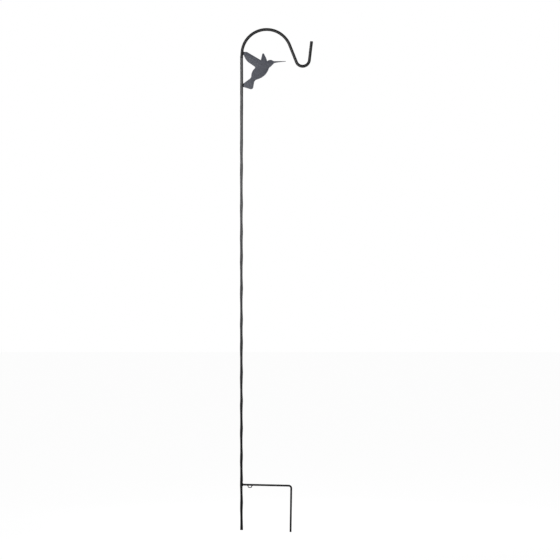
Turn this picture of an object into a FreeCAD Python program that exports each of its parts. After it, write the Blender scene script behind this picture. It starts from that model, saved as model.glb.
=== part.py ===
import FreeCAD, Part
import math
import os
import Sketcher

# A garden crook: a hammered steel bar with a round rod bent into an arch and a hanging bowl,
# a hummingbird cut from sheet steel between bar and arch, and a step-in foot at the ground end.
# Millimetres. The origin is the middle of the bar's ground end, +Z is up, +X is the way the
# crook reaches, and the whole crook lies in the plane Y = 0.

DRIVING_SIZES = [
    ("overall_height", 2134.0, "ground end of the bar to the crest of the arch"),
    ("bar_top_diameter", 13.2, "bar before hammering, at the crook"),
    ("bar_end_diameter", 12.6, "bar before hammering, at the ground end"),
    ("bar_end_chamfer", 0.5, "broken edge round the ground end"),
    ("ridge_depth", 0.25, "how deep the hammer reaches between two faces"),
    ("reach_side_face_depth", 2.1, "deepest hammer face on the side of the crook's reach"),
    ("back_side_face_depth", 1.5, "deepest hammer face on the side away from the reach"),
    ("flat_side_face_depth", 1.3, "deepest hammer faces in front and behind"),
    ("crook_diameter", 12.7, "round rod of the crook"),
    ("crook_lead", 23.0, "straight end of the crook between the bar and the arch"),
    ("crook_lean_angle", 4.6, "how far that end leans towards the reach"),
    ("crook_trim", 2.0, "what is cut off to square the crook on the bar"),
    ("arch_radius", 105.1, "arch, on the rod's centreline"),
    ("arch_turn_angle", 153.6, "how far the arch turns"),
    ("limb_length", 77.7, "straight limb between the arch and the bowl"),
    ("bowl_radius", 28.7, "hanging bowl, on the rod's centreline"),
    ("tip_lean_angle", 6.8, "how far the tip leans out from upright"),
    ("tip_length", 81.5, "straight tip above the bowl"),
    ("tip_round", 1.0, "rounded edge of the crook's cut end"),
    ("weld_groove", 1.5, "chamfer on both rods under the butt weld"),
    ("butt_bead_size", 1.6, "half the width of the butt weld"),
    ("bird_width", 184.0, "seat of the wing tip to the bill's tip"),
    ("bird_height", 159.0, "top of the wing to the lowest point of the tail"),
    ("bird_drop", 149.1, "arch centre down to the tail's lowest point"),
    ("bird_thickness", 2.0, "sheet steel of the bird"),
    ("bird_seat", 2.2, "how far the bird's outline starts inside the rod"),
    ("plate_bead_size", 3.0, "half the width of the welds on the bird"),
    ("foot_diameter", 8.2, "round rod of the foot"),
    ("foot_height", 193.0, "step arm above the ground end, at the bar"),
    ("arm_length", 200.5, "bar axis to the start of the foot's bend"),
    ("arm_fall_angle", 1.3, "how far the step arm falls away from the bar"),
    ("foot_bend_radius", 11.0, "bend of the foot, on the rod's centreline"),
    ("prong_length", 186.0, "straight prong under the bend"),
    ("prong_lean_angle", 0.9, "how far the prong leans in towards the bar"),
    ("prong_round", 1.0, "rounded edge of the prong's cut end"),
    ("foot_bead_size", 2.4, "half the width of the weld round the step arm"),
    ("eye_place", 35.5, "bar axis to the middle of the tie eye"),
    ("eye_wire", 3.8, "wire of the tie eye"),
    ("eye_width", 17.0, "middle of one leg of the tie eye to the other, under the step arm"),
    ("eye_clear_depth", 5.4, "open depth of the tie eye under the step arm"),
    ("eye_leg_angle", 70.0, "slope of the tie eye's legs"),
    ("eye_bend_radius", 3.4, "bends of the tie eye, on the wire's centreline"),
    ("eye_bead_size", 2.3, "half the width of the welds on the tie eye"),
    ("overrun", 5.0, "how far a cut runs past what it cuts"),
]

# The hammer faces of one row, from the ground end up, as shares of the bar's length: each
# face's lower ridge and its deepest place. The first starts under the bar and the last ends
# over it, so that a row that is shifted a little still runs out of both ends. A face's depth
# is a share of its row's deepest face, and they get shallower towards the top.
FACE_SHARES = [
    (-0.055, -0.025), (0.004, 0.034), (0.059, 0.085), (0.106, 0.135), (0.157, 0.186),
    (0.216, 0.243), (0.275, 0.296), (0.334, 0.360), (0.398, 0.423), (0.445, 0.478),
    (0.512, 0.546), (0.580, 0.605), (0.631, 0.661), (0.690, 0.724), (0.766, 0.800),
    (0.817, 0.868), (0.898, 0.921), (0.948, 0.974), (0.999, 1.030),
]
LAST_RIDGE_SHARE = 1.060
DEPTH_SHARES = [
    0.70, 0.85, 0.95, 0.80, 1.00, 0.90, 1.00, 0.85, 0.80, 1.00,
    0.95, 0.70, 0.85, 0.80, 0.60, 0.55, 0.45, 0.40, 0.40,
]
# How much of the way from its deepest place to a ridge a face stays level, and how far each
# row is shifted along the bar, as a share of its length: no two rows meet ridge to ridge.
LEVEL_SHARE = 0.30
BACK_SHIFT_SHARE = -0.012
FRONT_SHIFT_SHARE = 0.024
REAR_SHIFT_SHARE = -0.027

# The hummingbird's outline, clockwise from the wing tip, as shares of its width and height.
# A name leads each stretch: a line has its end, an arc has a point on the way and its end.
WING_TIP_SHARES = (0.000, 0.998)
BIRD_OUTLINE_SHARES = [
    ("line", (0.081, 1.000)),
    ("arc", (0.099, 0.997), (0.116, 0.989)),
    ("line", (0.423, 0.781)),
    ("line", (0.455, 0.940)),
    ("arc", (0.474, 0.960), (0.497, 0.946)),
    ("arc", (0.539, 0.851), (0.572, 0.753)),
    ("arc", (0.638, 0.787), (0.700, 0.767)),
    ("arc", (0.718, 0.757), (0.741, 0.752)),
    ("line", (1.000, 0.754)),
    ("line", (1.000, 0.739)),
    ("arc", (0.859, 0.725), (0.732, 0.701)),
    ("arc", (0.684, 0.643), (0.626, 0.581)),
    ("arc", (0.611, 0.562), (0.603, 0.539)),
    ("arc", (0.556, 0.433), (0.457, 0.325)),
    ("arc", (0.388, 0.284), (0.323, 0.258)),
    ("arc", (0.307, 0.249), (0.293, 0.236)),
    ("arc", (0.274, 0.203), (0.264, 0.165)),
    ("line", (0.251, 0.067)),
    ("arc", (0.230, 0.017), (0.186, 0.002)),
    ("line", (0.096, 0.034)),
    ("line", (0.000, 0.066)),
    ("line", (0.000, 0.140)),
    ("line", (0.155, 0.270)),
    ("arc", (0.190, 0.312), (0.202, 0.366)),
    ("arc", (0.223, 0.468), (0.277, 0.553)),
    ("arc", (0.288, 0.584), (0.273, 0.612)),
    ("line", (0.134, 0.722)),
    ("arc", (0.073, 0.803), (0.031, 0.908)),
    ("line", (0.000, 0.950)),
    ("line", WING_TIP_SHARES),
]

# The height of each weld on the bird and its length, as shares of the bird's height. Both
# beads are a little longer than the edge they hold, so they close round its ends.
WING_WELD_SHARES = {"place": 0.963, "length": 0.095}
TAIL_WELD_SHARES = {"place": 0.106, "length": 0.105}

# How much of a bead's half width the butt weld sits inside the rods' skin, and how tall the
# beads of the tie eye are for their width.
BUTT_BEAD_SINK_SHARE = 0.65
EYE_BEAD_RISE_SHARE = 0.70

# Derived places, written once as sums of the driving sizes.
ARCH_CENTRE = "(Sizes.overall_height - Sizes.crook_diameter / 2 - Sizes.arch_radius)"
LEAD_RISE = "(Sizes.crook_lead * cos(Sizes.crook_lean_angle))"
ARCH_START_DROP = "(Sizes.arch_radius * sin(Sizes.crook_lean_angle))"
BAR_LENGTH = f"({ARCH_CENTRE} + {ARCH_START_DROP} - {LEAD_RISE})"
BIRD_BASE = f"({ARCH_CENTRE} - Sizes.bird_drop)"
BIRD_START = "(Sizes.crook_diameter / 2 - Sizes.bird_seat)"
ARM_HEIGHT_AT_EYE = "(Sizes.foot_height - tan(Sizes.arm_fall_angle) * Sizes.eye_place)"
EYE_DEPTH = "(Sizes.foot_diameter / 2 + Sizes.eye_clear_depth + Sizes.eye_wire / 2)"
EYE_BEND_DROP = "(Sizes.eye_bend_radius * (1 - cos(Sizes.eye_leg_angle)))"
EYE_LEG = f"(({EYE_DEPTH} - {EYE_BEND_DROP}) / sin(Sizes.eye_leg_angle))"
EYE_TOP_WIDTH = "(Sizes.eye_width + Sizes.foot_diameter / 2 / tan(Sizes.eye_leg_angle) * 2)"
EYE_SLOPE_WIDTH = f"({EYE_LEG} * cos(Sizes.eye_leg_angle))"
EYE_BEND_WIDTH = "(Sizes.eye_bend_radius * sin(Sizes.eye_leg_angle))"
EYE_FLOOR = f"({EYE_TOP_WIDTH} - ({EYE_SLOPE_WIDTH} + {EYE_BEND_WIDTH}) * 2)"

doc = FreeCAD.newDocument("garden_crook")
sheet = doc.addObject("Spreadsheet::Sheet", "Sizes")


def fill_sheet():
    """One row for each driving size: its name, its value under that name, what it measures."""
    for row, (name, size, meaning) in enumerate(DRIVING_SIZES, start=1):
        sheet.set(f"A{row}", name)
        sheet.set(f"B{row}", str(size))
        sheet.setAlias(f"B{row}", name)
        sheet.set(f"C{row}", meaning)
    doc.recompute()


def value(expression):
    """What an expression of the sizes comes to."""
    return float(sheet.evalExpression(expression))


def new_sketch(body, name, role):
    """A sketch on one of the body's own origin planes."""
    plane = [item for item in body.Origin.OriginFeatures if item.Role == role][0]
    sketch = body.newObject("Sketcher::SketchObject", name)
    sketch.AttachmentSupport = [(plane, "")]
    sketch.MapMode = "FlatFace"
    return sketch


def pinned(edge, end, point):
    """The two ties that hold one end of an edge at its place: a constraint and its value."""
    across, up = point
    return [
        (Sketcher.Constraint("DistanceX", edge, end, value(across)), across),
        (Sketcher.Constraint("DistanceY", edge, end, value(up)), up),
    ]


def bind(sketch, ties):
    """Adds constraints all at once, and ties the value of each to the sizes."""
    first = sketch.ConstraintCount
    sketch.addConstraint([constraint for constraint, _ in ties])
    for index, (_, expression) in enumerate(ties, start=first):
        if expression is not None:
            sketch.setExpression(f"Constraints[{index}]", expression)


def spot(point):
    """A point of a sketch, from its two expressions."""
    return FreeCAD.Vector(value(point[0]), value(point[1]), 0)


def trace(sketch, start, stretches):
    """Draws a closed outline of lines and arcs through points that are tied to the sizes.

    Each stretch is a line with its end, or an arc with a point on the way and its end. The
    last one ends where the first one starts.
    """
    ties = []
    joints = []
    begin = start
    for kind, *points in stretches:
        end = points[-1]
        first, last = 1, 2
        if kind == "line":
            edge = sketch.addGeometry(Part.LineSegment(spot(begin), spot(end)), False)
        else:
            way = spot(points[0])
            edge = sketch.addGeometry(Part.Arc(spot(begin), way, spot(end)), False)
            if (way - spot(begin)).cross(spot(end) - way).z < 0:
                first, last = 2, 1
            way_point = sketch.addGeometry(Part.Point(way), True)
            ties.append((Sketcher.Constraint("PointOnObject", way_point, 1, edge), None))
            ties.extend(pinned(way_point, 1, points[0]))
        ties.extend(pinned(edge, last, end))
        joints.append(((edge, first), (edge, last)))
        begin = end
    for (_, before), (after, _) in zip(joints, joints[1:] + joints[:1]):
        ties.append((Sketcher.Constraint("Coincident", *before, *after), None))
    bind(sketch, ties)


def bent_rod(name, diameter, start, heading, bends):
    """A round rod bent in the front plane, as a smith reads it: straight runs and tangent bends.

    The heading is the angle from +X. A bend is its radius and how far it turns, left or right.
    """
    body = doc.addObject("PartDesign::Body", name)
    path = new_sketch(body, f"{name}_path", "XZ_Plane")
    here = spot(start)
    angle = value(heading)
    angle_sum = heading
    ties = []
    previous = None
    for kind, amount, *turn in bends:
        direction = FreeCAD.Vector(math.cos(math.radians(angle)), math.sin(math.radians(angle)), 0)
        if kind == "run":
            there = here + direction * value(amount)
            edge = path.addGeometry(Part.LineSegment(here, there), False)
            first, last = 1, 2
            ties.append((Sketcher.Constraint("Distance", edge, value(amount)), amount))
            ties.append((Sketcher.Constraint("Angle", edge, math.radians(angle)), angle_sum))
        else:
            radius = value(amount)
            swing = value(turn[0])
            side = 1 if kind == "left" else -1
            normal = FreeCAD.Vector(-direction.y, direction.x, 0) * side
            centre = here + normal * radius
            half = math.radians(swing / 2 * side)
            full = half + half
            middle = centre - rotated(normal, half) * radius
            there = centre - rotated(normal, full) * radius
            edge = path.addGeometry(Part.Arc(here, middle, there), False)
            first, last = (1, 2) if kind == "left" else (2, 1)
            ties.append((Sketcher.Constraint("Radius", edge, radius), amount))
            angle = angle + swing * side
            angle_sum = f"({angle_sum} {'+' if side > 0 else '-'} {turn[0]})"
        if previous is None:
            ties.extend(pinned(edge, first, start))
        else:
            ties.append((Sketcher.Constraint("Tangent", *previous, edge, first), None))
        previous = (edge, last)
        here = there
    bind(path, ties)
    doc.recompute()
    section = body.newObject("Sketcher::SketchObject", f"{name}_section")
    section.AttachmentSupport = [(path, "Edge1")]
    section.MapMode = "NormalToEdge"
    section.MapPathParameter = 0
    upright = FreeCAD.Vector(0, 0, 1)
    circle = section.addGeometry(Part.Circle(FreeCAD.Vector(), upright, value(diameter) / 2), False)
    bind(section, [
        (Sketcher.Constraint("Coincident", circle, 3, -1, 1), None),
        (Sketcher.Constraint("Diameter", circle, value(diameter)), diameter),
    ])
    pipe = body.newObject("PartDesign::AdditivePipe", f"{name}_sweep")
    pipe.Profile = section
    pipe.Spine = (path, [])
    doc.recompute()
    return body, pipe, FreeCAD.Vector(here.x, 0, here.y)


def rotated(vector, angle):
    """A flat vector turned by an angle in radians."""
    across = vector.x * math.cos(angle) - vector.y * math.sin(angle)
    up = vector.x * math.sin(angle) + vector.y * math.cos(angle)
    return FreeCAD.Vector(across, up, 0)


def rim_near(shape, point):
    """The name of the closed edge whose middle lies nearest to a point."""
    rims = []
    for number, edge in enumerate(shape.Edges, start=1):
        if edge.isClosed():
            rims.append((edge.CenterOfMass.distanceToPoint(point), f"Edge{number}"))
    return min(rims)[1]


def cut(name, base, *tools):
    """What is left of a piece where it seats on its neighbours, face to face."""
    for number, tool in enumerate(tools, start=1):
        left = doc.addObject("Part::Cut", f"{name}_{number}")
        left.Base = base
        left.Tool = tool
        base = left
    base.Label = name
    doc.recompute()
    return base


def hammer_row(body, name, role, side, deepest, shift_share):
    """One row of hammer faces along the bar: each slopes in, runs level and slopes out."""

    def on_row(share, struck):
        along = share + shift_share
        gain = "(Sizes.bar_top_diameter - Sizes.bar_end_diameter)"
        radius = f"((Sizes.bar_end_diameter + {along} * {gain}) / 2)"
        return f"({side} * ({radius} - {struck}))", f"({along} * {BAR_LENGTH})"

    ridge = "Sizes.ridge_depth"
    upper_ridges = [low for low, _ in FACE_SHARES[1:]] + [LAST_RIDGE_SHARE]
    start = on_row(FACE_SHARES[0][0], ridge)
    stretches = []
    for (low, middle), high, depth_share in zip(FACE_SHARES, upper_ridges, DEPTH_SHARES):
        struck = f"({ridge} + ({deepest} - {ridge}) * {depth_share})"
        stretches.append(("line", on_row(middle - (middle - low) * LEVEL_SHARE, struck)))
        stretches.append(("line", on_row(middle + (high - middle) * LEVEL_SHARE, struck)))
        stretches.append(("line", on_row(high, ridge)))
    outside = f"({side} * (Sizes.bar_top_diameter / 2 + Sizes.overrun))"
    stretches.append(("line", (outside, on_row(LAST_RIDGE_SHARE, ridge)[1])))
    stretches.append(("line", (outside, start[1])))
    stretches.append(("line", start))
    before = body.Shape.Volume
    outline = new_sketch(body, f"{name}_outline", role)
    trace(outline, start, stretches)
    row = body.newObject("PartDesign::Pocket", name)
    row.Profile = outline
    row.Type = "ThroughAll"
    row.SideType = "Symmetric"
    doc.recompute()
    if not 0 < row.Shape.Volume < before:
        raise ValueError(f"{name} cuts nothing")


def make_bar():
    """The bar: round and slightly tapered, then hammered in four rows a quarter turn apart."""
    body = doc.addObject("PartDesign::Body", "pole_bar")
    outline = new_sketch(body, "bar_outline", "XZ_Plane")
    end_radius = "Sizes.bar_end_diameter / 2"
    top_radius = "Sizes.bar_top_diameter / 2"
    trace(outline, ("0", "0"), [
        ("line", (f"({end_radius} - Sizes.bar_end_chamfer)", "0")),
        ("line", (end_radius, "Sizes.bar_end_chamfer")),
        ("line", (top_radius, f"({BAR_LENGTH} - Sizes.weld_groove)")),
        ("line", (f"({top_radius} - Sizes.weld_groove)", BAR_LENGTH)),
        ("line", ("0", BAR_LENGTH)),
        ("line", ("0", "0")),
    ])
    turned = body.newObject("PartDesign::Revolution", "round_bar")
    turned.Profile = outline
    turned.ReferenceAxis = (outline, ["V_Axis"])
    turned.Angle = 360
    doc.recompute()
    reach_depth = "Sizes.reach_side_face_depth"
    back_depth = "Sizes.back_side_face_depth"
    flat_depth = "Sizes.flat_side_face_depth"
    hammer_row(body, "reach_side_faces", "XZ_Plane", 1, reach_depth, 0)
    hammer_row(body, "back_side_faces", "XZ_Plane", -1, back_depth, BACK_SHIFT_SHARE)
    hammer_row(body, "front_faces", "YZ_Plane", -1, flat_depth, FRONT_SHIFT_SHARE)
    hammer_row(body, "rear_faces", "YZ_Plane", 1, flat_depth, REAR_SHIFT_SHARE)
    return body


def make_crook():
    """The crook: one round rod with the arch, the limb, the bowl and the upright tip."""
    bowl_turn = "(Sizes.arch_turn_angle + Sizes.crook_lean_angle - Sizes.tip_lean_angle)"
    lean_back = "(-Sizes.crook_trim * tan(Sizes.crook_lean_angle))"
    start = (lean_back, f"({BAR_LENGTH} - Sizes.crook_trim)")
    heading = "(90 - Sizes.crook_lean_angle)"
    body, sweep, tip = bent_rod("crook_rod", "Sizes.crook_diameter", start, heading, [
        ("run", "(Sizes.crook_lead + Sizes.crook_trim / cos(Sizes.crook_lean_angle))"),
        ("right", "Sizes.arch_radius", "Sizes.arch_turn_angle"),
        ("run", "Sizes.limb_length"),
        ("left", "Sizes.bowl_radius", bowl_turn),
        ("run", "Sizes.tip_length"),
    ])
    rounding = body.newObject("PartDesign::Fillet", "tip_rounding")
    rounding.Base = (sweep, [rim_near(sweep.Shape, tip)])
    rounding.setExpression("Radius", "Sizes.tip_round")
    doc.recompute()
    side = "(Sizes.crook_diameter + Sizes.overrun)"
    under = f"({BAR_LENGTH} - Sizes.crook_trim - {side})"
    waste = new_sketch(body, "squared_end_outline", "XZ_Plane")
    trace(waste, (f"(-{side})", under), [
        ("line", (side, under)),
        ("line", (side, BAR_LENGTH)),
        ("line", (f"(-{side})", BAR_LENGTH)),
        ("line", (f"(-{side})", under)),
    ])
    squared = body.newObject("PartDesign::Pocket", "squared_end")
    squared.Profile = waste
    squared.Type = "ThroughAll"
    squared.SideType = "Symmetric"
    doc.recompute()
    groove = body.newObject("PartDesign::Chamfer", "groove_chamfer")
    foot = FreeCAD.Vector(0, 0, value(BAR_LENGTH))
    groove.Base = (squared, [rim_near(squared.Shape, foot)])
    groove.setExpression("Size", "Sizes.weld_groove")
    doc.recompute()
    return body


def make_crook_weld(bar, crook):
    """The butt weld: a ring in the groove between bar and crook, with a low crown."""
    ring = doc.addObject("Part::Torus", "butt_bead")
    sink = f"Sizes.butt_bead_size * {BUTT_BEAD_SINK_SHARE}"
    ring.setExpression("Radius1", f"Sizes.crook_diameter / 2 - {sink}")
    ring.setExpression("Radius2", "Sizes.butt_bead_size")
    ring.setExpression("Placement.Base.z", BAR_LENGTH)
    return cut("crook_weld", ring, bar, crook)


def bird_point(shares):
    """A point of the bird's outline, from its shares of width and height."""
    across, up = shares
    return f"({BIRD_START} + {across} * Sizes.bird_width)", f"({BIRD_BASE} + {up} * Sizes.bird_height)"


def make_bird(bar, crook):
    """The hummingbird: cut from sheet steel, seated on the crook and on the bar."""
    body = doc.addObject("PartDesign::Body", "bird_sheet")
    outline = new_sketch(body, "bird_outline", "XZ_Plane")
    stretches = []
    for kind, *points in BIRD_OUTLINE_SHARES:
        stretches.append((kind, *[bird_point(point) for point in points]))
    trace(outline, bird_point(WING_TIP_SHARES), stretches)
    plate = body.newObject("PartDesign::Pad", "bird_plate_pad")
    plate.Profile = outline
    plate.setExpression("Length", "Sizes.bird_thickness")
    plate.SideType = "Symmetric"
    doc.recompute()
    return cut("bird_plate", body, bar, crook)


def make_bird_weld(name, shares, lean, *neighbours):
    """A short bead along the rod, on both faces of the sheet."""
    height = f"({BIRD_BASE} + {shares['place']} * Sizes.bird_height)"
    bead = doc.addObject("Part::Ellipsoid", f"{name}_bead")
    bead.setExpression("Radius1", f"Sizes.bird_height * {shares['length'] / 2}")
    bead.setExpression("Radius2", "Sizes.plate_bead_size")
    bead.setExpression("Radius3", "Sizes.plate_bead_size")
    bead.setExpression("Placement.Base.x", f"Sizes.crook_diameter / 2 + {lean.format(height)}")
    bead.setExpression("Placement.Base.z", height)
    return cut(name, bead, *neighbours)


def make_foot(bar):
    """The foot: one thinner round rod, the step arm bent down into the ground prong."""
    turn = "(90 - Sizes.arm_fall_angle + Sizes.prong_lean_angle)"
    start = ("0", "Sizes.foot_height")
    body, sweep, end = bent_rod("foot_sweep", "Sizes.foot_diameter", start, "(-Sizes.arm_fall_angle)", [
        ("run", "Sizes.arm_length"),
        ("right", "Sizes.foot_bend_radius", turn),
        ("run", "Sizes.prong_length"),
    ])
    rounding = body.newObject("PartDesign::Fillet", "prong_rounding")
    rounding.Base = (sweep, [rim_near(sweep.Shape, end)])
    rounding.setExpression("Radius", "Sizes.prong_round")
    doc.recompute()
    return cut("foot_rod", body, bar)


def make_foot_weld(bar, foot):
    """The bead that runs round the end of the step arm, on the bar."""
    ring = doc.addObject("Part::Torus", "foot_bead")
    ring.setExpression("Radius1", "Sizes.foot_diameter / 2")
    ring.setExpression("Radius2", "Sizes.foot_bead_size")
    root = "(Sizes.bar_end_diameter / 2 - Sizes.foot_bead_size / 2)"
    ring.setExpression("Placement.Base.x", root)
    ring.setExpression("Placement.Base.z", f"Sizes.foot_height - tan(Sizes.arm_fall_angle) * {root}")
    ring.Placement.Rotation = FreeCAD.Rotation(FreeCAD.Vector(0, 1, 0), 90)
    return cut("foot_weld", ring, bar, foot)


def make_eye(foot):
    """The tie eye: a short wire bail, bent to a shallow tray and set under the step arm."""
    start = (f"(Sizes.eye_place - {EYE_TOP_WIDTH} / 2)", ARM_HEIGHT_AT_EYE)
    body, _, _ = bent_rod("eye_sweep", "Sizes.eye_wire", start, "(-Sizes.eye_leg_angle)", [
        ("run", EYE_LEG),
        ("left", "Sizes.eye_bend_radius", "Sizes.eye_leg_angle"),
        ("run", EYE_FLOOR),
        ("left", "Sizes.eye_bend_radius", "Sizes.eye_leg_angle"),
        ("run", EYE_LEG),
    ])
    return cut("tie_eye", body, foot)


def make_eye_welds(foot, eye):
    """The two beads that hold the tie eye's legs, one outside each leg."""
    beads = []
    for side in (-1, 1):
        bead = doc.addObject("Part::Ellipsoid", "eye_bead")
        bead.setExpression("Radius1", f"Sizes.eye_bead_size * {EYE_BEAD_RISE_SHARE}")
        bead.setExpression("Radius2", "Sizes.eye_bead_size")
        bead.setExpression("Radius3", "Sizes.eye_bead_size")
        place = f"(Sizes.eye_place + {side} * (Sizes.eye_width + Sizes.eye_wire) / 2)"
        bead.setExpression("Placement.Base.x", place)
        fall = f"tan(Sizes.arm_fall_angle) * {place}"
        height = f"Sizes.foot_height - {fall} - Sizes.foot_diameter / 2"
        bead.setExpression("Placement.Base.z", height)
        beads.append(bead)
    pair = doc.addObject("Part::Compound", "eye_beads")
    pair.Links = beads
    return cut("tie_eye_welds", pair, foot, eye)


def check(pieces):
    """Every object has been worked out, and every piece is a sound solid."""
    for item in doc.Objects:
        if "Invalid" in item.State or "Error" in item.State:
            raise ValueError(f"{item.Label} failed: {item.State}")
    for piece in pieces:
        if piece.Shape.isNull() or not piece.Shape.isValid() or not piece.Shape.Solids:
            raise ValueError(f"{piece.Label} isn't a sound solid")


def make_crook_assembly():
    """Every piece of the crook, in the order in which it is put together."""
    bar = make_bar()
    crook = make_crook()
    bird = make_bird(bar, crook)
    foot = make_foot(bar)
    eye = make_eye(foot)
    leaning = "tan(Sizes.crook_lean_angle) * ({} - " + BAR_LENGTH + ")"
    return [
        bar,
        crook,
        make_crook_weld(bar, crook),
        bird,
        make_bird_weld("wing_weld", WING_WELD_SHARES, leaning, bar, crook, bird),
        make_bird_weld("tail_weld", TAIL_WELD_SHARES, "0", bar, bird),
        foot,
        make_foot_weld(bar, foot),
        eye,
        make_eye_welds(foot, eye),
    ]


fill_sheet()
all_pieces = make_crook_assembly()
doc.recompute()
check(all_pieces)
os.makedirs("parts", exist_ok=True)
for piece in all_pieces:
    piece.Shape.exportStep(f"parts/{piece.Label}.step")
    print(piece.Label, len(piece.Shape.Solids), "solids", round(piece.Shape.Volume, 1), "mm3")
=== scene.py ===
import math

import bmesh
import bpy
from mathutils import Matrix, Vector


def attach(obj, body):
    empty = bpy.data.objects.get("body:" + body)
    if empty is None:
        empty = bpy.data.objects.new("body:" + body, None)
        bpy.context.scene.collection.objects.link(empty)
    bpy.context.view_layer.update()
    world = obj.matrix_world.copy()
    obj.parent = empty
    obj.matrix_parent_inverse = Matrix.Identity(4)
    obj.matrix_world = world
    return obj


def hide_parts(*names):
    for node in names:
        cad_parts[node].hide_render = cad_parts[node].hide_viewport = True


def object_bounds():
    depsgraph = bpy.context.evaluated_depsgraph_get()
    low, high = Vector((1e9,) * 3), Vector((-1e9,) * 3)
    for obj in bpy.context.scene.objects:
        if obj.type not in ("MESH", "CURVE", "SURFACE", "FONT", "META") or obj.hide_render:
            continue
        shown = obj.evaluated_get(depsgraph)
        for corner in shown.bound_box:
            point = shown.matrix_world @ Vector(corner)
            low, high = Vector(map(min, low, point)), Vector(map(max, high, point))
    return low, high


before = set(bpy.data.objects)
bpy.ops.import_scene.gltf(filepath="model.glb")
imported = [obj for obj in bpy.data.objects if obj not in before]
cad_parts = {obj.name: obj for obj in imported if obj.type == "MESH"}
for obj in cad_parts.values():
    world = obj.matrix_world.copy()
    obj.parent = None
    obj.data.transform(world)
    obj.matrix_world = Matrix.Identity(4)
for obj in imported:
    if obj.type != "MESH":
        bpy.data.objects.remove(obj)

cad_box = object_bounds()
MM = 0.001

# The pole
# One solid steel bar, hammered on four sides along its whole length, so that the faces of one
# side come between those of the next. It is cut square at the ground end and carries a
# graphite satin coat, rubbed a little lighter on the proud ridges that the hammer left.


def feed(tree, socket, source):
    """Links a socket to another node's output, or gives it a plain value."""
    if isinstance(source, bpy.types.NodeSocket):
        tree.links.new(source, socket)
    else:
        socket.default_value = source


def node(tree, kind, feeds=None, **settings):
    """Adds a node with its settings, and feeds its inputs by number or name."""
    made = tree.nodes.new(kind)
    for name, setting in settings.items():
        setattr(made, name, setting)
    for place, source in (feeds or {}).items():
        feed(tree, made.inputs[place], source)
    return made


def maths(tree, operation, *terms):
    """One sum of up to three terms."""
    return node(tree, "ShaderNodeMath", dict(enumerate(terms)), operation=operation).outputs[0]


def eased(tree, amount, low, high, start=0.0, end=1.0):
    """Start below low, end above high, and a soft step from one to the other."""
    feeds = {0: amount, 1: low, 2: high, 3: start, 4: end}
    return node(tree, "ShaderNodeMapRange", feeds, interpolation_type="SMOOTHSTEP").outputs[0]


def clouds(tree, position, scale, detail=2.0, roughness=0.5):
    """Soft noise, with its scale counted in patches to the metre."""
    feeds = {"Vector": position, "Scale": scale, "Detail": detail, "Roughness": roughness}
    return node(tree, "ShaderNodeTexNoise", feeds).outputs[0]


def scaled(tree, vector, share):
    """A vector made longer or shorter."""
    return node(tree, "ShaderNodeVectorMath", {0: vector, "Scale": share}, operation="SCALE").outputs[0]


def point_of(tree, **parts):
    """A point from its x, y and z, of which the missing ones are nought."""
    feeds = {"xyz".index(axis): source for axis, source in parts.items()}
    return node(tree, "ShaderNodeCombineXYZ", feeds).outputs[0]


def parts_of(tree, vector):
    """The x, y and z of a vector."""
    return node(tree, "ShaderNodeSeparateXYZ", {0: vector}).outputs


def shaping_tree(name, sizes):
    """A geometry tree with the geometry and one named input for each size going in."""
    tree = bpy.data.node_groups.new(name, "GeometryNodeTree")
    tree.interface.new_socket("Geometry", in_out="OUTPUT", socket_type="NodeSocketGeometry")
    tree.interface.new_socket("Geometry", in_out="INPUT", socket_type="NodeSocketGeometry")
    for size in sizes:
        tree.interface.new_socket(size, in_out="INPUT", socket_type="NodeSocketFloat")
    tree.interface.new_socket("Coat", in_out="INPUT", socket_type="NodeSocketMaterial")
    return tree, node(tree, "NodeGroupInput").outputs


def close_tree(tree, geometry, coating):
    """Smooth shading, real geometry, the coat, and out."""
    smooth = node(tree, "GeometryNodeSetShadeSmooth", {0: geometry}).outputs[0]
    solid = node(tree, "GeometryNodeRealizeInstances", {0: smooth}).outputs[0]
    coated = node(tree, "GeometryNodeSetMaterial", {0: solid, "Material": coating}).outputs[0]
    node(tree, "NodeGroupOutput", {0: coated})


def shaped(name, stock, tree, values, crease=35.0):
    """Runs a tree on a stock mesh and keeps the result as a plain mesh with its own place."""
    piece = bpy.data.objects.new(name, stock)
    bpy.context.scene.collection.objects.link(piece)
    modifier = piece.modifiers.new("shape", "NODES")
    modifier.node_group = tree
    for item in tree.interface.items_tree:
        if item.in_out == "INPUT" and item.name in values:
            modifier[item.identifier] = values[item.name]
    bpy.context.view_layer.update()
    graph = bpy.context.evaluated_depsgraph_get()
    mesh = bpy.data.meshes.new_from_object(piece.evaluated_get(graph), depsgraph=graph)
    piece.modifiers.clear()
    piece.data = mesh
    mesh.set_sharp_from_angle(angle=math.radians(crease))
    return piece


def coat_group(name, feeds, masks):
    """A shader group with named inputs, a position among them, and named masks coming out."""
    group = bpy.data.node_groups.new(name, "ShaderNodeTree")
    group.interface.new_socket("Position", in_out="INPUT", socket_type="NodeSocketVector")
    for label in feeds:
        group.interface.new_socket(label, in_out="INPUT", socket_type="NodeSocketFloat")
    for label in masks:
        group.interface.new_socket(label, in_out="OUTPUT", socket_type="NodeSocketFloat")
    return group, node(group, "NodeGroupInput").outputs


# Powder coat as it flows out in the oven: a fine peel, finer specks and a cloudy tone.
powder_coat, into = coat_group("powder coat", ["Peel", "Specks", "Clouds"], ["Height", "Tone", "Grain"])
peel = clouds(powder_coat, into["Position"], into["Peel"], detail=2.0, roughness=0.45)
specks = clouds(powder_coat, into["Position"], into["Specks"], detail=1.0, roughness=0.6)
cloudy = clouds(powder_coat, into["Position"], into["Clouds"], detail=3.0, roughness=0.55)
speck_height = 0.25
node(powder_coat, "NodeGroupOutput", {
    "Height": maths(powder_coat, "MULTIPLY_ADD", specks, speck_height, peel),
    "Tone": eased(powder_coat, cloudy, low=0.3, high=0.7),
    "Grain": eased(powder_coat, specks, low=0.35, high=0.75),
})

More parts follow.
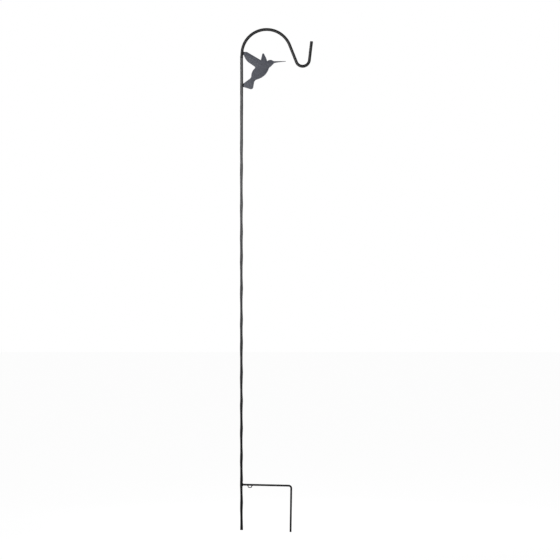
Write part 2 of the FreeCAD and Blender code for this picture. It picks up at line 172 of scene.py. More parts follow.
# Rubbing: what stands proud loses its gloss and shows through, in broken patches. On the step arm's top
# the same mask carries painted top light.
rubbing, into = coat_group("rubbing", ["Proud", "Patches", "Onset"], ["Rubbed"])
broken = clouds(rubbing, into["Position"], into["Patches"], detail=4.0, roughness=0.7)
evenness, fade = 0.35, 0.25
bare = maths(rubbing, "MULTIPLY", into["Proud"], maths(rubbing, "ADD", broken, evenness))
all_bare = maths(rubbing, "ADD", into["Onset"], fade)
node(rubbing, "NodeGroupOutput", {"Rubbed": eased(rubbing, bare, into["Onset"], all_bare)})


def coat(name, dark, light, worn, satin, gloss, peel_depth, peel_size,
         rub_onset=0.55, cloud_scale=45.0, painted_light_band=None):
    """A coated steel finish: its darkest, lightest and rubbed colour, roughness, gloss and peel.

    A painted light band is given as four heights: the coat is painted lighter from the first to the
    second, and goes back from the third to the fourth. Such a coat is also painted darker towards the
    ground, as painted shade.
    """
    material = bpy.data.materials.new(name)
    material.use_nodes = True
    tree = material.node_tree
    shader = tree.nodes["Principled BSDF"]
    place = node(tree, "ShaderNodeTexCoord").outputs["Object"]
    powder = node(tree, "ShaderNodeGroup", {
        "Position": place, "Peel": 1 / peel_size, "Specks": 4 / peel_size, "Clouds": cloud_scale,
    }, node_tree=powder_coat).outputs
    proud = node(tree, "ShaderNodeAttribute", attribute_name="proud").outputs["Fac"]
    # The rub mask, which on the step arm also carries painted top light.
    rub_and_top_light = node(tree, "ShaderNodeGroup", {
        "Position": place, "Proud": proud, "Patches": 300.0, "Onset": rub_onset,
    }, node_tree=rubbing).outputs["Rubbed"]

    grain_share = 0.25
    tone = maths(tree, "MULTIPLY_ADD", powder["Grain"], grain_share, powder["Tone"])
    # Painted light and painted shade: the coat is drawn lighter in a band up the pole and darker
    # towards the ground, standing in for light that falls away down the pole.
    if painted_light_band:
        painted_light_gain, contrast, least = 0.55, 0.75, 0.22
        up = parts_of(tree, place)[2]
        painted_light_mask = maths(tree, "SUBTRACT", eased(tree, up, *painted_light_band[:2]), eased(tree, up, *painted_light_band[2:]))
        tone = maths(tree, "MULTIPLY_ADD", painted_light_mask, painted_light_gain, tone)
        tone = maths(tree, "MULTIPLY_ADD", tone, contrast, least)
        # Painted shade: the coat goes darker towards the ground.
        tone = maths(tree, "MULTIPLY", tone, eased(tree, up, low=0.15, high=0.95))
    body = node(tree, "ShaderNodeMix", {"Factor": tone}, data_type="RGBA", clamp_factor=True)
    feed(tree, body.inputs[6], (*dark, 1.0))
    feed(tree, body.inputs[7], (*light, 1.0))
    shown = node(tree, "ShaderNodeMix", {"Factor": rub_and_top_light}, data_type="RGBA")
    feed(tree, shown.inputs[6], body.outputs[2])
    feed(tree, shown.inputs[7], (*worn, 1.0))
    feed(tree, shader.inputs["Base Color"], shown.outputs[2])

    tone_rough, rubbed_rough = 0.10, 0.08
    rough = maths(tree, "MULTIPLY_ADD", powder["Tone"], tone_rough, satin - tone_rough / 2)
    rough = maths(tree, "MULTIPLY_ADD", rub_and_top_light, rubbed_rough, rough)
    feed(tree, shader.inputs["Roughness"], rough)
    shader.inputs["Specular IOR Level"].default_value = gloss
    bump = node(tree, "ShaderNodeBump", {
        "Strength": 0.6, "Distance": peel_depth, "Height": powder["Height"],
    })
    feed(tree, shader.inputs["Normal"], bump.outputs[0])
    return material


pole_length = 2008.05 * MM
side_shifts = {"Reach Shift": 0.0, "Back Shift": -0.012, "Front Shift": 0.024, "Rear Shift": -0.027}

# Each hammer face of a side, from the ground up: its lower ridge, its deepest place and its
# share of the side's full depth. A face stays level for the middle third of its length.
faces = [
    (-0.055, -0.025, 0.70), (0.004, 0.034, 0.85), (0.059, 0.085, 0.95), (0.106, 0.135, 0.80),
    (0.157, 0.186, 1.00), (0.216, 0.243, 0.90), (0.275, 0.296, 1.00), (0.334, 0.360, 0.85),
    (0.398, 0.423, 0.80), (0.445, 0.478, 1.00), (0.512, 0.546, 0.95), (0.580, 0.605, 0.70),
    (0.631, 0.661, 0.85), (0.690, 0.724, 0.80), (0.766, 0.800, 0.60), (0.817, 0.868, 0.55),
    (0.898, 0.921, 0.45), (0.948, 0.974, 0.40), (0.999, 1.030, 0.40),
]
last_ridge = 1.060
level = 0.30
row_start, row_length = -0.06, 1.12
highs = [low for low, _, _ in faces[1:]] + [last_ridge]
marks = [(row_start, 0.0)]
for (low, middle, share), high in zip(faces, highs):
    marks.append((low, 0.0))
    marks.append((middle - (middle - low) * level, share))
    marks.append((middle + (high - middle) * level, share))
marks = [((mark - row_start) / row_length, depth) for mark, depth in marks]

hammered, into = shaping_tree("hammered bar", [
    "Length", "Ground End Radius", "Crook End Radius", "Ridge Depth", "Reach Side Depth",
    "Back Side Depth", "Flat Side Depth", *side_shifts, "Dent Size", "Dent Depth", "End Round",
    "Swell", "Off Straight", "Upper Reach Share",
])
round_bar = node(hammered, "GeometryNodeMeshCylinder", {
    "Vertices": 44, "Side Segments": 1004, "Radius": 1.0, "Depth": into["Length"],
})
spot = parts_of(hammered, node(hammered, "GeometryNodeInputPosition").outputs[0])
along = maths(hammered, "ADD", maths(hammered, "DIVIDE", spot[2], into["Length"]), 0.5)
gain = maths(hammered, "SUBTRACT", into["Crook End Radius"], into["Ground End Radius"])
full = maths(hammered, "MULTIPLY_ADD", along, gain, into["Ground End Radius"])
clear_of_joint = eased(hammered, along, low=0.975, high=0.998, start=1.0, end=0.0)
full = maths(hammered, "MULTIPLY_ADD", clear_of_joint, into["Swell"], full)

# Each side is planed by its hammer faces, and where two sides meet the shoulder stays soft.
soft_shoulder, least_facing = 0.3 * MM, 0.2
radius = full
for side, depth_of, axis, sign in (
    ("Reach", "Reach", 0, 1.0),
    ("Back", "Back", 0, -1.0),
    ("Front", "Flat", 1, -1.0),
    ("Rear", "Flat", 1, 1.0),
):
    where = maths(hammered, "SUBTRACT", along, into[f"{side} Shift"])
    where = maths(hammered, "DIVIDE", maths(hammered, "SUBTRACT", where, row_start), row_length)
    blows = node(hammered, "ShaderNodeFloatCurve", {"Value": where})
    profile = blows.mapping.curves[0]
    profile.points[0].location = marks[0]
    profile.points[1].location = (1.0, 0.0)
    for mark in marks[1:]:
        profile.points.new(*mark)
    for point in profile.points:
        point.handle_type = "VECTOR"
    blows.mapping.update()
    extra = maths(hammered, "SUBTRACT", into[f"{depth_of} Side Depth"], into["Ridge Depth"])
    if side == "Reach":
        near_top = {"low": 0.76, "high": 0.90, "start": 1.0, "end": into["Upper Reach Share"]}
        extra = maths(hammered, "MULTIPLY", extra, eased(hammered, along, **near_top))
    struck = maths(hammered, "MULTIPLY_ADD", blows.outputs[0], extra, into["Ridge Depth"])
    facing = maths(hammered, "MAXIMUM", maths(hammered, "MULTIPLY", spot[axis], sign), least_facing)
    flat = maths(hammered, "DIVIDE", maths(hammered, "SUBTRACT", full, struck), facing)
    radius = maths(hammered, "SMOOTH_MIN", radius, flat, soft_shoulder)

# The first ring is drawn down close to the ground end, so that the end's round edge is even.
draw_down = 1.5 * MM
height = maths(hammered, "MULTIPLY", along, into["Length"])
near_ground = eased(hammered, height, low=2 * MM, high=12 * MM, start=1.0, end=0.0)
drawn_down = maths(hammered, "MULTIPLY", near_ground, draw_down)
height = maths(hammered, "MAXIMUM", maths(hammered, "SUBTRACT", height, drawn_down), 0.0)

# Small dents between the faces, longer than they are wide, and not the same depth everywhere.
dent_stretch = 0.55
outward = point_of(hammered, x=spot[0], y=spot[1])
across = parts_of(hammered, scaled(hammered, outward, full))
stretched = maths(hammered, "MULTIPLY", height, dent_stretch)
skin = point_of(hammered, x=across[0], y=across[1], z=stretched)
dents = node(hammered, "ShaderNodeTexVoronoi", {
    "Vector": skin, "Scale": maths(hammered, "DIVIDE", 1.0, into["Dent Size"]), "Randomness": 0.9,
}, feature="SMOOTH_F1")
feed(hammered, dents.inputs["Smoothness"], 0.35)
dent = eased(hammered, dents.outputs["Distance"], low=0.05, high=0.75, start=1.0, end=0.0)
uneven = eased(hammered, clouds(hammered, skin, 55.0), low=0.35, high=0.65, start=0.3, end=1.0)
dent = maths(hammered, "MULTIPLY", dent, uneven)
radius = maths(hammered, "SUBTRACT", radius, maths(hammered, "MULTIPLY", dent, into["Dent Depth"]))
struck_off = maths(hammered, "SUBTRACT", full, radius)
proud = eased(hammered, struck_off, low=0.05 * MM, high=0.6 * MM, start=1.0, end=0.0)
near_end = eased(hammered, height, 0.0, into["End Round"], start=1.0, end=0.0)
radius = maths(hammered, "SUBTRACT", radius, maths(hammered, "MULTIPLY", near_end, into["End Round"]))

# The bar runs off straight one way at mid height, and a little the other way near the top.
drift = maths(hammered, "MULTIPLY", eased(hammered, along, low=0.0, high=0.15),
              eased(hammered, along, low=0.72, high=1.0, start=1.0, end=-0.6))
drift = maths(hammered, "MULTIPLY", drift, clear_of_joint)
drift = maths(hammered, "MULTIPLY", drift, into["Off Straight"])
core = point_of(hammered, x=drift, z=height)
there = node(hammered, "ShaderNodeVectorMath", {
    0: scaled(hammered, outward, radius), 1: core,
}, operation="ADD").outputs[0]
marked = node(hammered, "GeometryNodeStoreNamedAttribute", {
    "Geometry": round_bar.outputs[0], "Name": "proud", "Value": proud,
}).outputs[0]
struck_bar = node(hammered, "GeometryNodeSetPosition", {"Geometry": marked, "Position": there})
close_tree(hammered, struck_bar.outputs[0], into["Coat"])

# The graphite coat carries painted light from 0.6 to 1.8 m up, fullest from 0.8 to 1.45 m, and painted
# shade below 0.95 m, darkest at the ground end.
graphite = coat(
    "graphite_hammered_coat", dark=(0.009, 0.009, 0.010), light=(0.056, 0.057, 0.059),
    worn=(0.086, 0.088, 0.091), satin=0.42, gloss=0.45, peel_depth=0.12 * MM,
    peel_size=1.1 * MM, rub_onset=0.76, painted_light_band=(0.60, 0.80, 1.45, 1.80),
)

# Swell, Off Straight and Upper Reach Share bring the bar to the photograph's pole, which is a
# little fuller and less straight than the solid, and struck less deep near the top.
pole = shaped("hammered_pole", bpy.data.meshes.new("pole_stock"), hammered, {
    "Length": pole_length, "Ground End Radius": 6.3 * MM, "Crook End Radius": 6.6 * MM,
    "Ridge Depth": 0.25 * MM, "Reach Side Depth": 2.1 * MM, "Back Side Depth": 1.5 * MM,
    "Flat Side Depth": 1.3 * MM, **side_shifts, "Dent Size": 11 * MM, "Dent Depth": 0.3 * MM,
    "End Round": 0.5 * MM, "Swell": 0.4 * MM, "Off Straight": -0.5 * MM,
    "Upper Reach Share": 0.25, "Coat": graphite,
})
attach(pole, "root")
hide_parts("pole_bar")

# The crook
# One solid round rod, bent cold round formers: a short end that leans into the high arch, the
# straight limb, the hanging bowl and the upright tip, whose cut end is rounded over. It has a
# smooth black satin coat, and the rod keeps the faint unevenness of drawn and bent steel.


def line_mesh(name, lines):
    """Chains of points joined by edges. Each line is its points, their girths and if it closes."""
    places, edges, girths = [], [], []
    for points, shares, closed in lines:
        first = len(places)
        places.extend(points)
        girths.extend(shares)
        edges.extend((first + i, first + i + 1) for i in range(len(points) - 1))
        if closed:
            edges.append((len(places) - 1, first))
    mesh = bpy.data.meshes.new(name)
    mesh.from_pydata(places, edges, [])
    mesh.attributes.new("girth", "FLOAT", "POINT").data.foreach_set("value", girths)
    return mesh


def smith_path(start, heading, bends, step, rod_radius=None):
    """Points along a rod bent in the plane Y = 0, and each point's share of the full girth.

    A bend is a run with its length, or a turn left or right with its radius and angle. Where
    the rod's radius is given, the last end is rounded over: points crowd there, and the girth
    closes in a quarter circle.
    """
    end_round, redone = 1.0 * MM, 1.2 * MM
    x, z = start
    points = [(x, z)]
    for kind, amount, *turn in bends:
        if kind == "run":
            count = max(1, round(amount / step))
            for i in range(1, count + 1):
                far = amount * i / count
                points.append((x + far * math.cos(heading), z + far * math.sin(heading)))
        else:
            side = 1 if kind == "left" else -1
            angle = math.radians(turn[0])
            reach = amount * side
            centre_x, centre_z = x - reach * math.sin(heading), z + reach * math.cos(heading)
            count = max(4, round(amount * angle / step))
            for i in range(1, count + 1):
                now = heading + side * angle * i / count
                points.append((centre_x + reach * math.sin(now), centre_z - reach * math.cos(now)))
            heading += side * angle
        x, z = points[-1]
    girths = [1.0] * len(points)
    if rod_radius:
        while math.dist(points[-1], (x, z)) < redone:
            points.pop()
            girths.pop()
        for part in (1.0, 0.7, 0.45, 0.25, 0.12, 0.04, 0.0):
            back = end_round * part
            points.append((x - back * math.cos(heading), z - back * math.sin(heading)))
            closing = 1 - math.sqrt(1 - (1 - part) ** 2)
            girths.append(1 - end_round / rod_radius * closing)
    return [(px, 0.0, pz) for px, pz in points], girths, False


bent_rod, into = shaping_tree("bent rod", ["Rod Radius", "Sides", "Unevenness", "Wave Length"])
route = node(bent_rod, "GeometryNodeMeshToCurve", {0: into["Geometry"]}).outputs[0]
girth = node(bent_rod, "GeometryNodeInputNamedAttribute", {"Name": "girth"}).outputs[0]
hoop = node(bent_rod, "GeometryNodeCurvePrimitiveCircle", {
    "Resolution": into["Sides"], "Radius": 1.0,
}).outputs[0]
rod = node(bent_rod, "GeometryNodeCurveToMesh", {
    "Curve": route, "Profile Curve": hoop,
    "Scale": maths(bent_rod, "MULTIPLY", girth, into["Rod Radius"]), "Fill Caps": True,
}).outputs[0]
place = node(bent_rod, "GeometryNodeInputPosition").outputs[0]
wave_scale = maths(bent_rod, "DIVIDE", 1.0, into["Wave Length"])
wave = maths(bent_rod, "SUBTRACT", clouds(bent_rod, place, wave_scale, detail=3.0), 0.5)
wave = maths(bent_rod, "MULTIPLY", wave, into["Unevenness"])
outward = node(bent_rod, "GeometryNodeInputNormal").outputs[0]
rounded_end = eased(bent_rod, girth, low=0.85, high=0.99, start=0.8, end=0.0)
rod = node(bent_rod, "GeometryNodeStoreNamedAttribute", {
    "Geometry": rod, "Name": "proud", "Value": rounded_end,
}).outputs[0]
rod = node(bent_rod, "GeometryNodeSetPosition", {
    "Geometry": rod, "Offset": scaled(bent_rod, outward, wave),
}).outputs[0]
close_tree(bent_rod, rod, into["Coat"])

crook_radius = 6.35 * MM
crook_lean = math.radians(4.6)
arch_radius, arch_turn = 105.1 * MM, 153.6
bowl_radius, bowl_turn = 28.7 * MM, 151.4
start_length, limb_length, tip_length = 23.0 * MM, 77.7 * MM, 81.5 * MM
rod_step = 2.0 * MM
crook_path = smith_path((0.0, pole_length), math.radians(90) - crook_lean, [
    ("run", start_length),
    ("right", arch_radius, arch_turn),
    ("run", limb_length),
    ("left", bowl_radius, bowl_turn),
    ("run", tip_length),
], rod_step, crook_radius)
satin_black = coat(
    "black_satin_coat", dark=(0.013, 0.013, 0.014), light=(0.020, 0.020, 0.021),
    worn=(0.08, 0.08, 0.08), satin=0.44, gloss=0.35, peel_depth=0.08 * MM, peel_size=0.9 * MM,
    rub_onset=0.5,
)
crook = shaped("bent_crook", line_mesh("crook_path", [crook_path]), bent_rod, {
    "Rod Radius": crook_radius, "Sides": 36, "Unevenness": 0.16 * MM, "Wave Length": 30 * MM,
    "Coat": satin_black,
})
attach(crook, "root")
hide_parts("crook_rod")

# The butt weld
# Pole and crook are bevelled, set end to end and welded all round. The run of metal fills the
# groove and stands a little proud, in small overlapping ripples, under a coarser black coat.

weld_run, into = shaping_tree("weld run", [
    "Bead Radius", "Ripples", "Ripple Depth", "Unevenness", "Point Spacing",
])


def with_share(tree, curve, label):
    """A curve whose points carry their share of its length, and the output that reads it."""
    kept = node(tree, "GeometryNodeCaptureAttribute", {0: curve})
    kept.capture_items.new("FLOAT", label)
    feed(tree, kept.inputs[label], node(tree, "GeometryNodeSplineParameter").outputs["Factor"])
    return kept.outputs[0], kept.outputs[label]


route = node(weld_run, "GeometryNodeMeshToCurve", {0: into["Geometry"]}).outputs[0]
route = node(weld_run, "GeometryNodeResampleCurve", {
    0: route, "Length": into["Point Spacing"],
}, mode="LENGTH").outputs[0]
route, travel = with_share(weld_run, route, "Travel")
hoop = node(weld_run, "GeometryNodeCurvePrimitiveCircle", {"Resolution": 14, "Radius": 1.0}).outputs[0]
hoop, turn = with_share(weld_run, hoop, "Turn")
girth = node(weld_run, "GeometryNodeInputNamedAttribute", {"Name": "girth"}).outputs[0]
bead = node(weld_run, "GeometryNodeCurveToMesh", {
    "Curve": route, "Profile Curve": hoop,
    "Scale": maths(weld_run, "MULTIPLY", girth, into["Bead Radius"]), "Fill Caps": True,
}).outputs[0]

# A ripple is slow to rise and quick to fall, and lies slantwise over the run.
slant, rise = 0.3, 1.6
swing = maths(weld_run, "COSINE", maths(weld_run, "MULTIPLY", turn, math.tau))
swing = maths(weld_run, "MULTIPLY", swing, slant)
phase = maths(weld_run, "MULTIPLY_ADD", travel, into["Ripples"], swing)
ripple = maths(weld_run, "POWER", maths(weld_run, "FRACT", phase), rise)
ripple = maths(weld_run, "MULTIPLY", maths(weld_run, "SUBTRACT", ripple, 0.5), into["Ripple Depth"])
place = node(weld_run, "GeometryNodeInputPosition").outputs[0]
lumps = maths(weld_run, "SUBTRACT", clouds(weld_run, place, 420.0), 0.5)
swell = maths(weld_run, "MULTIPLY_ADD", lumps, into["Unevenness"], ripple)
outward = node(weld_run, "GeometryNodeInputNormal").outputs[0]
bead = node(weld_run, "GeometryNodeSetPosition", {
    "Geometry": bead, "Offset": scaled(weld_run, outward, swell),
}).outputs[0]
close_tree(weld_run, bead, into["Coat"])


def ring(centre, radius, axis, count=48):
    """A closed ring of points round a line that runs along an axis."""
    lie = Vector((0, 0, 1)).rotation_difference(Vector(axis))
    points = []
    for i in range(count):
        angle = math.tau * i / count
        flat = lie @ Vector((radius * math.cos(angle), radius * math.sin(angle), 0.0))
        points.append(tuple(flat + Vector(centre)))
    return points, [1.0] * count, True


groove_radius = 5.31 * MM
bead_spacing, bead_crease = 0.14 * MM, 60.0
weld_black = coat(
    "black_weld_coat", dark=(0.007, 0.007, 0.008), light=(0.016, 0.016, 0.017),
    worn=(0.06, 0.06, 0.06), satin=0.5, gloss=0.4, peel_depth=0.15 * MM, peel_size=0.8 * MM,
    rub_onset=0.8,
)
butt_path = ring((0, 0, pole_length), groove_radius, (0, 0, 1))
butt_bead = shaped("butt_bead", line_mesh("butt_path", [butt_path]), weld_run, {
    "Bead Radius": 1.6 * MM, "Ripples": 22.0, "Ripple Depth": 0.22 * MM, "Unevenness": 0.3 * MM,
    "Point Spacing": bead_spacing, "Coat": weld_black,
}, bead_crease)
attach(butt_bead, "root")
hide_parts("crook_weld")

# The hummingbird
# A flat silhouette cut from 2 mm sheet steel, deburred, and coated slate grey. Its wing tip is
# seated on the foot of the crook and its tail on the pole. The cut edge keeps the torch's fine
# lines across the sheet, and the coat has drawn back a little from the sharp corners.

bird = bpy.data.objects.new("sheet_bird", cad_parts["bird_plate"].data.copy())
bpy.context.scene.collection.objects.link(bird)
shape = bmesh.new()
shape.from_mesh(bird.data)
bmesh.ops.remove_doubles(shape, verts=shape.verts, dist=0.01 * MM)
bmesh.ops.dissolve_limit(shape, angle_limit=math.radians(1.0), verts=shape.verts, edges=shape.edges)
shape.to_mesh(bird.data)
shape.free()
softened = bird.modifiers.new("softened edge", "BEVEL")
softened.width = 0.3 * MM
softened.segments = 3
softened.limit_method = "ANGLE"
softened.angle_limit = math.radians(50)
softened.harden_normals = False
bpy.context.view_layer.update()
graph = bpy.context.evaluated_depsgraph_get()
smooth_bird = bpy.data.meshes.new_from_object(bird.evaluated_get(graph), depsgraph=graph)
bird.modifiers.clear()
bird.data = smooth_bird
smooth_bird.shade_smooth()
smooth_bird.set_sharp_from_angle(angle=math.radians(30))
square_on, edge_wear = 0.98, 0.9
worn_edge = [0.0 if abs(face.normal.y) > square_on else edge_wear for face in smooth_bird.polygons]
smooth_bird.attributes.new("proud", "FLOAT", "FACE").data.foreach_set("value", worn_edge)

slate = coat(
    "slate_satin_coat", dark=(0.064, 0.069, 0.088), light=(0.076, 0.081, 0.101),
    worn=(0.17, 0.175, 0.19), satin=0.48, gloss=0.35, peel_depth=0.10 * MM, peel_size=1.2 * MM,
    rub_onset=0.62, cloud_scale=22.0,
)
tree = slate.node_tree
place = parts_of(tree, node(tree, "ShaderNodeTexCoord").outputs["Object"])
line_stretch, line_scale = 0.04, 1600.0
drawn_out = maths(tree, "MULTIPLY", place[1], line_stretch)
lines = clouds(tree, point_of(tree, x=place[0], y=drawn_out, z=place[2]), line_scale, roughness=0.6)
faced = parts_of(tree, node(tree, "ShaderNodeNewGeometry").outputs["True Normal"])
on_edge = eased(tree, maths(tree, "ABSOLUTE", faced[1]), low=0.2, high=0.5, start=1.0, end=0.0)
peeled = next(item for item in tree.nodes if item.bl_idname == "ShaderNodeBump")
cut_lines = node(tree, "ShaderNodeBump", {
    "Strength": 0.5, "Distance": 0.12 * MM, "Height": maths(tree, "MULTIPLY", lines, on_edge),
    "Normal": peeled.outputs[0],
})
feed(tree, tree.nodes["Principled BSDF"].inputs["Normal"], cut_lines.outputs[0])
smooth_bird.materials.clear()
smooth_bird.materials.append(slate)
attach(bird, "root")
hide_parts("bird_plate")

# The welds on the bird
# A thin fillet runs round each edge of the sheet that meets the rod: up one face, over the end
# and down the other. The wing tip is welded to the leaning end of the crook, the tail to the pole.


def closed_fillet(place, lean, half_length, half_width, count=60):
    """A long closed loop round the edge of the sheet, with its length up the rod."""
    x, z = place
    points = []
    for i in range(count):
        angle = math.tau * i / count
        up = half_length * math.sin(angle)
        y = half_width * math.cos(angle)
        points.append((x + up * math.sin(lean), y, z + up * math.cos(lean)))
    return points, [1.0] * count, True


bird_low, bird_tall = 1873.45 * MM, 159.0 * MM
wing_share, tail_share = 0.963, 0.106
crook_side, pole_side, half_sheet = 6.6 * MM, 7.0 * MM, 1.1 * MM
wing_height = bird_low + wing_share * bird_tall
wing_place = (crook_side + math.tan(crook_lean) * (wing_height - pole_length), wing_height)
tail_place = (pole_side, bird_low + tail_share * bird_tall)
wing_path = closed_fillet(wing_place, crook_lean, 5.6 * MM, half_sheet)
tail_path = closed_fillet(tail_place, 0.0, 6.5 * MM, half_sheet)
for name, target, path, ripples in (
    ("wing_fillet", "wing_weld", wing_path, 18.0),
    ("tail_fillet", "tail_weld", tail_path, 22.0),
):
    fillet = shaped(name, line_mesh(name + "_path", [path]), weld_run, {
        "Bead Radius": 1.9 * MM, "Ripples": ripples, "Ripple Depth": 0.25 * MM,
        "Unevenness": 0.45 * MM, "Point Spacing": bead_spacing, "Coat": weld_black,
    }, bead_crease)
    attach(fillet, "root")
    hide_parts(target)

# The foot
# One thinner round rod, bent once: the step arm that a boot presses down, and the prong that
# keeps the crook from turning in the ground. The arm's end is butted on the pole and welded
# all round, and the prong's cut end is rounded over. It has the same black coat, a bit duller.

foot_radius = 4.1 * MM
foot_height = 193.0 * MM
arm_fall = math.radians(1.3)


def arm_height(reach):
    """Height of the middle of the step arm at a distance from the pole's middle."""
    return foot_height - math.tan(arm_fall) * reach


inside_bar = 3.0 * MM
arm_length, prong_length = 200.5 * MM, 186.0 * MM
bend_radius, bend_turn = 11.0 * MM, 89.6
foot_path = smith_path((inside_bar, arm_height(inside_bar)), -arm_fall, [
    ("run", arm_length - inside_bar / math.cos(arm_fall)),
    ("right", bend_radius, bend_turn),
    ("run", prong_length),
], rod_step, foot_radius)
# The dull coat's worn colour also paints the top light on the step arm.
dull_black = coat(
    "black_dull_coat", dark=(0.008, 0.008, 0.009), light=(0.015, 0.015, 0.016),
    worn=(0.06, 0.06, 0.06), satin=0.46, gloss=0.4, peel_depth=0.08 * MM, peel_size=0.9 * MM,
    rub_onset=0.5,
)
foot = shaped("bent_foot", line_mesh("foot_path", [foot_path]), bent_rod, {
    "Rod Radius": foot_radius, "Sides": 30, "Unevenness": 0.14 * MM, "Wave Length": 24 * MM,
    "Coat": dull_black,
})

# Painted top light: the top of the step arm gets the worn colour through the proud attribute, more
# where it faces up, and this fades out round the bend.
top_light_depth, top_light_fade, painted_top_light, flank_share = 14 * MM, 8 * MM, 1.25, 0.5
rub_and_top_light = foot.data.attributes["proud"].data
for vertex in foot.data.vertices:
    upward = math.sqrt(max(0.0, (vertex.normal.z + flank_share) / (1 + flank_share)))
    on_arm = min(max((vertex.co.z - foot_height + top_light_depth) / top_light_fade, 0.0), 1.0)
    rub_and_top_light[vertex.index].value = max(rub_and_top_light[vertex.index].value, painted_top_light * upward * on_arm)
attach(foot, "root")
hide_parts("foot_rod")

root = 4.9 * MM
foot_bead_path = ring((root, 0, arm_height(root)), foot_radius, (1, 0, 0))
foot_bead = shaped("foot_bead", line_mesh("foot_bead_path", [foot_bead_path]), weld_run, {
    "Bead Radius": 2.3 * MM, "Ripples": 20.0, "Ripple Depth": 0.28 * MM, "Unevenness": 0.45 * MM,
    "Point Spacing": bead_spacing, "Coat": weld_black,
}, bead_crease)
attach(foot_bead, "root")
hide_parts("foot_weld")

# The tie eye
# A short wire bail under the step arm, close to the pole, for a cord or a cable tie. The wire
# is bent to a shallow tray, and each leg has a small bead of weld where it meets the arm.

eye_place, eye_top_width = 35.5 * MM, 19.985 * MM
eye_wire_radius, eye_bend_radius, eye_bend_turn = 1.9 * MM, 3.4 * MM, 70.0
leg_length, tray_length, eye_step = 9.751 * MM, 6.925 * MM, 0.5 * MM
leg_slope = math.radians(eye_bend_turn)
eye_path = smith_path((eye_place - eye_top_width / 2, arm_height(eye_place)), -leg_slope, [
    ("run", leg_length),
    ("left", eye_bend_radius, eye_bend_turn),
    ("run", tray_length),
    ("left", eye_bend_radius, eye_bend_turn),
    ("run", leg_length),
], eye_step)
eye = shaped("wire_eye", line_mesh("eye_path", [eye_path]), bent_rod, {
    "Rod Radius": eye_wire_radius, "Sides": 20, "Unevenness": 0.08 * MM, "Wave Length": 9 * MM,
    "Coat": dull_black,
})
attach(eye, "root")
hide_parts("tie_eye")

inset_drop, bead_drop = 3.5 * MM, 3.7 * MM
leg_inset = inset_drop / math.tan(leg_slope)
rings = []
for side in (-1, 1):
    leg_place = eye_place + side * (eye_top_width / 2 - leg_inset)
    leg_end = (leg_place, 0, arm_height(leg_place) - bead_drop)
    leg_axis = (side * math.cos(leg_slope), 0, math.sin(leg_slope))
    rings.append(ring(leg_end, eye_wire_radius, leg_axis, 36))
eye_beads = shaped("eye_beads", line_mesh("eye_bead_paths", rings), weld_run, {
    "Bead Radius": 1.1 * MM, "Ripples": 10.0, "Ripple Depth": 0.16 * MM, "Unevenness": 0.3 * MM,
    "Point Spacing": bead_spacing, "Coat": weld_black,
}, bead_crease)
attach(eye_beads, "root")
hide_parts("tie_eye_welds")

# The floor, the light and the camera
# A pale floor under the prong, and a white backdrop that only the eye and the gloss see. Four
# soft boxes stand round the head of the crook and two weaker ones low down, so that the light
# falls away towards the foot. The camera looks square on from far off.

floor_height = cad_box[0][2]
half = 30.0
corners = [(-half, -half), (half, -half), (half, half), (-half, half)]
floor_mesh = bpy.data.meshes.new("floor")
floor_mesh.from_pydata([(x, y, floor_height) for x, y in corners], [], [(0, 1, 2, 3)])
floor = bpy.data.objects.new("floor", floor_mesh)
bpy.context.scene.collection.objects.link(floor)
paper = bpy.data.materials.new("pale_paper")
paper.use_nodes = True
tree = paper.node_tree
tree.nodes.clear()
seen = node(tree, "ShaderNodeLightPath").outputs
gloss_share, paper_white = 0.3, 0.97
shows = maths(tree, "MULTIPLY_ADD", seen["Is Glossy Ray"], gloss_share, seen["Is Camera Ray"])
matte = node(tree, "ShaderNodeBsdfDiffuse", {"Color": (0.35, 0.35, 0.35, 1.0)})
glow = node(tree, "ShaderNodeEmission", {
    "Color": (1.0, 1.0, 1.0, 1.0), "Strength": maths(tree, "MULTIPLY", shows, paper_white),
})
both = node(tree, "ShaderNodeAddShader", {0: matte.outputs[0], 1: glow.outputs[0]})
node(tree, "ShaderNodeOutputMaterial", {0: both.outputs[0]})
floor_mesh.materials.append(paper)

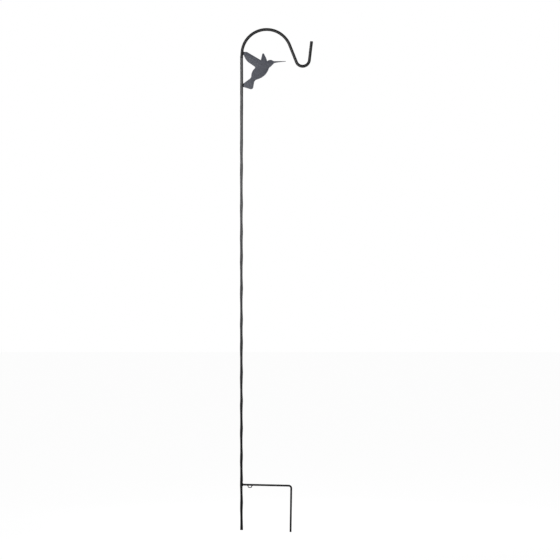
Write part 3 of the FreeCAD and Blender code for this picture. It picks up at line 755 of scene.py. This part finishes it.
world = bpy.data.worlds.new("studio")
bpy.context.scene.world = world
world.use_nodes = True
tree = world.node_tree
tree.nodes.clear()
seen = node(tree, "ShaderNodeLightPath").outputs
toward = parts_of(tree, node(tree, "ShaderNodeTexCoord").outputs["Generated"])
behind = eased(tree, toward[1], low=0.3, high=1.0, start=0.0, end=0.6)
mirrored = maths(tree, "MAXIMUM", seen["Is Glossy Ray"], seen["Is Transmission Ray"])
mirrored = maths(tree, "MULTIPLY", mirrored, behind)
white = maths(tree, "MAXIMUM", seen["Is Camera Ray"], mirrored)
dim_air = 0.02
strength = maths(tree, "MULTIPLY_ADD", white, 1.0 - dim_air, dim_air)
air = node(tree, "ShaderNodeBackground", {"Color": (1.0, 1.0, 1.0, 1.0), "Strength": strength})
node(tree, "ShaderNodeOutputWorld", {0: air.outputs[0]})

for name, place, aim_height, power in (
    ("key_box", (-0.95, -1.50, 1.85), 1.85, 6.6),
    ("front_box", (-0.05, -1.75, 1.80), 1.80, 4.0),
    ("side_box", (1.70, 0.80, 1.90), 1.85, 0.8),
    ("back_box", (-0.95, 1.50, 1.95), 1.85, 5.0),
    ("low_front_box", (-0.85, -1.70, 0.85), 0.20, 1.6),
    ("low_back_box", (0.90, 1.70, 0.85), 0.20, 1.8),
):
    lamp = bpy.data.lights.new(name, "AREA")
    lamp.shape = "RECTANGLE"
    lamp.size, lamp.size_y = 0.8, 1.0
    lamp.energy = power
    lamp.spread = math.radians(105)
    box = bpy.data.objects.new(name, lamp)
    box.location = place
    aim = Vector((0.08, 0.0, aim_height))
    box.rotation_euler = (aim - Vector(place)).to_track_quat("-Z", "Y").to_euler()
    bpy.context.scene.collection.objects.link(box)

camera_data = bpy.data.cameras.new("camera")
camera = bpy.data.objects.new("camera", camera_data)
bpy.context.scene.collection.objects.link(camera)
view_height, distance, sensor = 2.3806, 12.0, 36.0
view_middle, view_level = 0.16345, 1.06275
camera_data.sensor_width = sensor
camera_data.lens = sensor * distance / view_height
camera_data.clip_end = 100.0
camera.location = (view_middle, -distance, view_level)
camera.rotation_euler = (math.radians(90), 0.0, 0.0)
bpy.context.scene.camera = camera
bpy.context.scene.view_settings.view_transform = "Standard"
